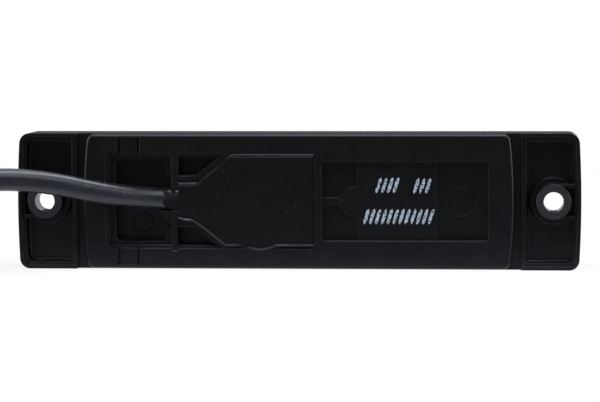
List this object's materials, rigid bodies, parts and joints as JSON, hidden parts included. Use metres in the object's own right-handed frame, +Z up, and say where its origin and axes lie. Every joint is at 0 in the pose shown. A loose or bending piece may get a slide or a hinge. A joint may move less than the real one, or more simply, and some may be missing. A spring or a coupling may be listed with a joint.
{
  "type": "position lamp",
  "caption": "Slim rectangular vehicle position lamp with a screw ear at each end, a clear front lens, a potted rear cable entry and its lead wound into a tied coil.",
  "frame": {"origin": "on the rear mounting plane, midway between the two screw holes", "axes": "+X along the lamp, away from the cable end; +Y from the mounting plane to the lens; +Z up, with the lamp standing on its long lower edge"},
  "size_m": [0.1945, 0.0572, 0.0314],
  "materials": {
    "housing_black": "fine-grained black moulding, glossy on its rounded edges",
    "lens_clear": "clear acrylic, polished, with light-spreading flutes inside",
    "reflector_bright": "vapour-metallised plastic",
    "board_white": "white solder mask",
    "led_white": "white package",
    "phosphor": "yellow silicone fill",
    "chip_black": "moulded component body",
    "chip_tan": "fired ceramic body",
    "resin_black": "cured potting resin, glossy and slightly wavy",
    "solder": "bright tin solder",
    "cable_black": "satin black soft sheath",
    "core_brown": "brown core insulation",
    "core_white": "white core insulation",
    "tinned_wire": "tinned strands",
    "tie_black": "satin nylon strap",
    "ink_pale": "pale blue marking ink, printed on the rear panel"
  },
  "bodies": {
    "root": {"housing": "housing_black", "lens": "lens_clear", "reflector": "reflector_bright", "circuit_board": "board_white", "potting": "resin_black", "cable_lead": "cable_black", "cable_coil": "cable_black", "cable_tail": "cable_black", "coil_tie": "tie_black", "inner_core_positive": "core_brown", "inner_core_negative": "core_white", "solder_joint_positive": "solder", "solder_joint_negative": "solder", "diode": "chip_black", "capacitor": "chip_tan", "tail_core_positive": "core_brown", "tail_core_negative": "core_white", "tail_wire_positive": "tinned_wire", "tail_wire_negative": "tinned_wire", "led_1": "led_white", "led_emitter_1": "phosphor", "resistor_1": "chip_black", "led_2": "led_white", "led_emitter_2": "phosphor", "resistor_2": "chip_black", "led_3": "led_white", "led_emitter_3": "phosphor", "resistor_3": "chip_black"}
  },
  "joints": []
}
